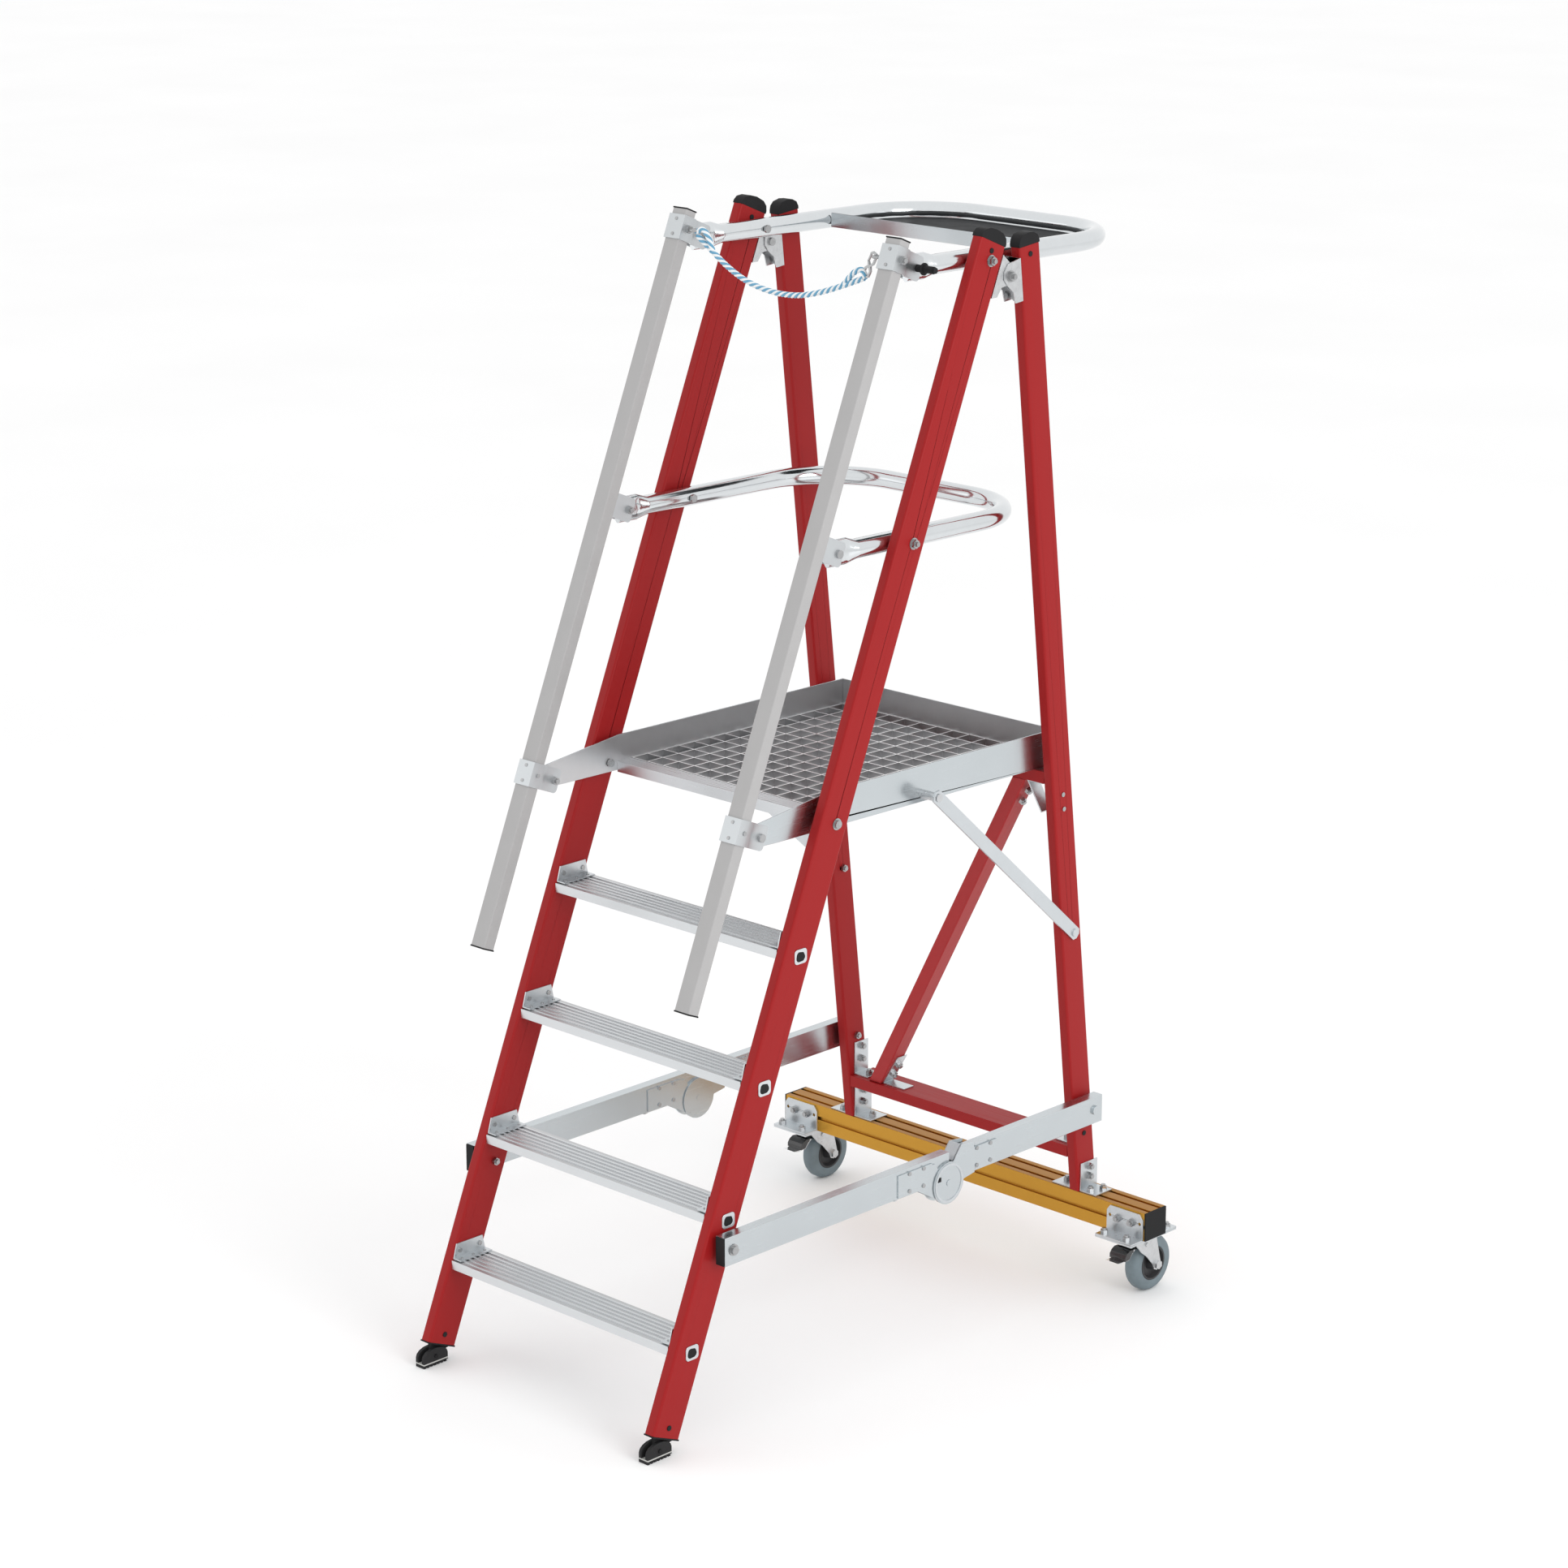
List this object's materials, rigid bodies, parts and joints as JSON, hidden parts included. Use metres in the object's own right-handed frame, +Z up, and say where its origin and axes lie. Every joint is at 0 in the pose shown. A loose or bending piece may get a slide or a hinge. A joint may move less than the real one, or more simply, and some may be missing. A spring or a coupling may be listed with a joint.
{
  "type": "mobile platform step ladder",
  "caption": "Folding A-frame step ladder with fibreglass stiles, ribbed treads, grated work platform, guard rails, hand rails and a castored rear beam.",
  "frame": {"origin": "on the floor, in the middle of the ladder's width and of its whole depth", "axes": "+Z up, +Y from the climbing side towards the castors, +X to the right of a person climbing"},
  "size_m": [1.074, 1.4946, 2.339],
  "materials": {
    "red_fibreglass": "satin",
    "aluminium": "satin",
    "rail_aluminium": "satin",
    "gold_aluminium": "satin anodised",
    "zinc_steel": "zinc plated",
    "bright_steel": "polished",
    "black_plastic": "matte",
    "tray_plastic": "matte",
    "shoe_rubber": "matte",
    "tyre_rubber": "matte",
    "wheel_plastic": "matte",
    "rope_fibre": "twisted white and blue strands"
  },
  "bodies": {
    "front_frame": {"front_stile_right": "red_fibreglass", "front_stile_left": "red_fibreglass", "front_stile_caps": "black_plastic", "foot_holders": "black_plastic", "treads": "aluminium", "tread_brackets": "aluminium", "rung_tubes": "aluminium", "front_hinge_brackets": "zinc_steel", "front_fasteners": "zinc_steel"},
    "shoe_right": {"foot_shoe_right": "shoe_rubber"},
    "shoe_left": {"foot_shoe_left": "shoe_rubber"},
    "rear_frame": {"rear_stile_right": "red_fibreglass", "rear_stile_left": "red_fibreglass", "rear_stile_caps": "black_plastic", "rear_hinge_brackets": "zinc_steel", "cross_bars": "red_fibreglass", "diagonal_brace": "red_fibreglass", "rear_angles": "aluminium", "rear_beam": "gold_aluminium", "beam_end_caps": "black_plastic", "caster_mounts": "aluminium", "rear_fasteners": "zinc_steel"},
    "caster_right": {"caster_fork_right": "zinc_steel"},
    "caster_left": {"caster_fork_left": "zinc_steel"},
    "wheel_right": {"tyre_right": "tyre_rubber", "wheel_hub_right": "wheel_plastic"},
    "wheel_left": {"tyre_left": "tyre_rubber", "wheel_hub_left": "wheel_plastic"},
    "brake_right": {"brake_pedal_right": "bright_steel", "brake_block_right": "black_plastic"},
    "brake_left": {"brake_pedal_left": "bright_steel", "brake_block_left": "black_plastic"},
    "platform": {"platform_sides": "aluminium", "platform_toe_board": "aluminium", "platform_nosing": "aluminium", "platform_grating": "aluminium", "strut_studs": "zinc_steel"},
    "top_guard": {"top_rail": "rail_aluminium", "tool_tray": "tray_plastic"},
    "mid_guard": {"mid_rail": "rail_aluminium"},
    "hand_rail_right": {"handrail_right": "rail_aluminium", "handrail_caps_right": "black_plastic", "clamps_right": "rail_aluminium", "pin_sleeve": "black_plastic", "snap_hook": "bright_steel"},
    "hand_rail_left": {"handrail_left": "rail_aluminium", "handrail_caps_left": "black_plastic", "clamps_left": "rail_aluminium", "barrier_rope": "rope_fibre"},
    "strut_right": {"strut_right": "aluminium"},
    "strut_left": {"strut_left": "aluminium"},
    "spreader_front_right": {"spreader_front_right": "aluminium", "spreader_plug_right": "black_plastic"},
    "spreader_front_left": {"spreader_front_left": "aluminium", "spreader_plug_left": "black_plastic"},
    "spreader_rear_right": {"spreader_rear_right": "aluminium"},
    "spreader_rear_left": {"spreader_rear_left": "aluminium"},
    "lever_right": {"spreader_lever_right": "zinc_steel"},
    "lever_left": {"spreader_lever_left": "zinc_steel"},
    "snap_gate": {"snap_gate": "bright_steel"}
  },
  "joints": [
    {"name": "main_fold", "type": "hinge", "parent": "front_frame", "child": "rear_frame", "pos_m": [0, 0.2882, 2.2339], "axis": [1, 0, 0], "range_deg": [-24, 0]},
    {"name": "platform_fold", "type": "hinge", "parent": "front_frame", "child": "platform", "pos_m": [0, -0.21031, 1.202], "axis": [1, 0, 0], "range_deg": [0, 48.41]},
    {"name": "mid_guard_fold", "type": "hinge", "parent": "front_frame", "child": "mid_guard", "pos_m": [0, 0.0094, 1.734], "axis": [1, 0, 0], "range_deg": [0, 48.41]},
    {"name": "top_guard_fold", "type": "hinge", "parent": "front_frame", "child": "top_guard", "pos_m": [0, 0.23118, 2.271], "axis": [1, 0, 0], "range_deg": [0, 48.41]},
    {"name": "hand_rail_fold_right", "type": "hinge", "parent": "platform", "child": "hand_rail_right", "pos_m": [0, -0.3873, 1.20385], "axis": [1, 0, 0], "range_deg": [-48.41, 0]},
    {"name": "strut_fold_right", "type": "hinge", "parent": "platform", "child": "strut_right", "pos_m": [0, 0.08315, 1.19593], "axis": [1, 0, 0], "range_deg": [-103.16, 0]},
    {"name": "spreader_front_fold_right", "type": "hinge", "parent": "front_frame", "child": "spreader_front_right", "pos_m": [0, -0.53966, 0.4045], "axis": [1, 0, 0], "range_deg": [0, 58.46]},
    {"name": "spreader_rear_fold_right", "type": "hinge", "parent": "spreader_front_right", "child": "spreader_rear_right", "pos_m": [0, 0.0895, 0.3695], "axis": [1, 0, 0], "range_deg": [-155.21, 0]},
    {"name": "lever_tilt_right", "type": "hinge", "parent": "spreader_front_right", "child": "lever_right", "pos_m": [0, 0.0425, 0.3721], "axis": [1, 0, 0], "range_deg": [0, 5]},
    {"name": "caster_swivel_right", "type": "hinge", "parent": "rear_frame", "child": "caster_right", "pos_m": [0.482, 0.5875, 0.14], "axis": [0, 0, 1], "continuous": true},
    {"name": "wheel_spin_right", "type": "hinge", "parent": "caster_right", "child": "wheel_right", "pos_m": [0.482, 0.6295, 0.0625], "axis": [1, 0, 0], "continuous": true},
    {"name": "brake_press_right", "type": "hinge", "parent": "caster_right", "child": "brake_right", "pos_m": [0.482, 0.5935, 0.1185], "axis": [1, 0, 0], "range_deg": [0, 4]},
    {"name": "shoe_tilt_right", "type": "hinge", "parent": "front_frame", "child": "shoe_right", "pos_m": [0.333, -0.7145, 0.02], "axis": [1, 0, 0], "range_deg": [-8, 8]},
    {"name": "hand_rail_fold_left", "type": "hinge", "parent": "platform", "child": "hand_rail_left", "pos_m": [0, -0.3873, 1.20385], "axis": [1, 0, 0], "range_deg": [-48.41, 0]},
    {"name": "strut_fold_left", "type": "hinge", "parent": "platform", "child": "strut_left", "pos_m": [0, 0.08315, 1.19593], "axis": [1, 0, 0], "range_deg": [-103.16, 0]},
    {"name": "spreader_front_fold_left", "type": "hinge", "parent": "front_frame", "child": "spreader_front_left", "pos_m": [0, -0.53966, 0.4045], "axis": [1, 0, 0], "range_deg": [0, 58.46]},
    {"name": "spreader_rear_fold_left", "type": "hinge", "parent": "spreader_front_left", "child": "spreader_rear_left", "pos_m": [0, 0.0895, 0.3695], "axis": [1, 0, 0], "range_deg": [-155.21, 0]},
    {"name": "lever_tilt_left", "type": "hinge", "parent": "spreader_front_left", "child": "lever_left", "pos_m": [0, 0.0425, 0.3721], "axis": [1, 0, 0], "range_deg": [0, 5]},
    {"name": "caster_swivel_left", "type": "hinge", "parent": "rear_frame", "child": "caster_left", "pos_m": [-0.482, 0.5875, 0.14], "axis": [0, 0, 1], "continuous": true},
    {"name": "wheel_spin_left", "type": "hinge", "parent": "caster_left", "child": "wheel_left", "pos_m": [-0.482, 0.6295, 0.0625], "axis": [1, 0, 0], "continuous": true},
    {"name": "brake_press_left", "type": "hinge", "parent": "caster_left", "child": "brake_left", "pos_m": [-0.482, 0.5935, 0.1185], "axis": [1, 0, 0], "range_deg": [0, 4]},
    {"name": "shoe_tilt_left", "type": "hinge", "parent": "front_frame", "child": "shoe_left", "pos_m": [-0.333, -0.7145, 0.02], "axis": [1, 0, 0], "range_deg": [-8, 8]},
    {"name": "gate_open", "type": "hinge", "parent": "hand_rail_right", "child": "snap_gate", "pos_m": [0.2305, 0.00058, 2.28613], "axis": [0, 1, 0], "range_deg": [0, 12], "stiffness_Nm_per_rad": 0.02}
  ],
  "couplings": [
    {"joint": "platform_fold", "follows": "main_fold", "ratio": -2.0167},
    {"joint": "mid_guard_fold", "follows": "main_fold", "ratio": -2.0167},
    {"joint": "top_guard_fold", "follows": "main_fold", "ratio": -2.0167},
    {"joint": "hand_rail_fold_right", "follows": "main_fold", "ratio": 2.0167},
    {"joint": "strut_fold_right", "follows": "main_fold", "ratio": 4.2979},
    {"joint": "spreader_front_fold_right", "follows": "main_fold", "ratio": -2.4354},
    {"joint": "spreader_rear_fold_right", "follows": "main_fold", "ratio": 6.4667},
    {"joint": "hand_rail_fold_left", "follows": "main_fold", "ratio": 2.0167},
    {"joint": "strut_fold_left", "follows": "main_fold", "ratio": 4.2979},
    {"joint": "spreader_front_fold_left", "follows": "main_fold", "ratio": -2.4354},
    {"joint": "spreader_rear_fold_left", "follows": "main_fold", "ratio": 6.4667}
  ]
}
